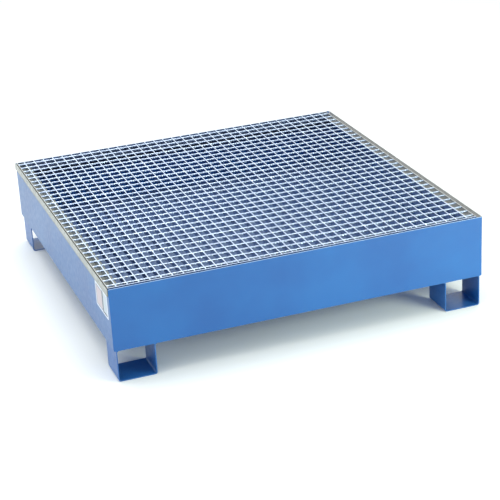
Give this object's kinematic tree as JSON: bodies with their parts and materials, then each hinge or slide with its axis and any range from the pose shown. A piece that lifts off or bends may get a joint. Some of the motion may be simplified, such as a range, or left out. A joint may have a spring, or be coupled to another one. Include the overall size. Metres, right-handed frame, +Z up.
{
  "type": "spill containment pallet",
  "caption": "Square steel spill pallet: folded blue sump tray on U-shaped feet, galvanised seat angles and a lift-out welded bar grating flush with the end walls.",
  "frame": {"origin": "on the ground, at the middle of the pallet in plan", "axes": "+Z up through the grating, +X to the right along the cross rods, +Y to the back along the bearing bars"},
  "size_m": [1.208, 1.2, 0.3],
  "materials": {
    "blue_paint": "satin powder coat with fine orange peel",
    "painted_weld": "satin powder coat over a rippled weld bead",
    "galvanised_angle": "hot-dip galvanised, dull grey with faint spangle",
    "galvanised_bar": "hot-dip galvanised, light grey",
    "galvanised_rod": "hot-dip galvanised twisted rod, light grey",
    "label_film": "satin printed film with plain colour fields"
  },
  "bodies": {
    "tray": {"sump_floor": "blue_paint", "front_wall": "blue_paint", "back_wall": "blue_paint", "left_wall": "blue_paint", "right_wall": "blue_paint", "front_ledge": "blue_paint", "back_ledge": "blue_paint", "left_seat_angle": "galvanised_angle", "right_seat_angle": "galvanised_angle", "foot_front_left": "blue_paint", "foot_front_right": "blue_paint", "foot_back_left": "blue_paint", "foot_back_right": "blue_paint", "sump_weld_beads": "painted_weld", "foot_weld_beads": "painted_weld", "information_label": "label_film"},
    "grating": {"bearing_bars": "galvanised_bar", "outer_bar_left": "galvanised_bar", "outer_bar_right": "galvanised_bar", "binding_bar_front": "galvanised_bar", "binding_bar_back": "galvanised_bar", "cross_rods": "galvanised_rod"}
  },
  "joints": [
    {"name": "grating_lift", "type": "slide", "parent": "tray", "child": "grating", "axis": [0, 0, 1], "range_m": [0, 0.3]}
  ]
}
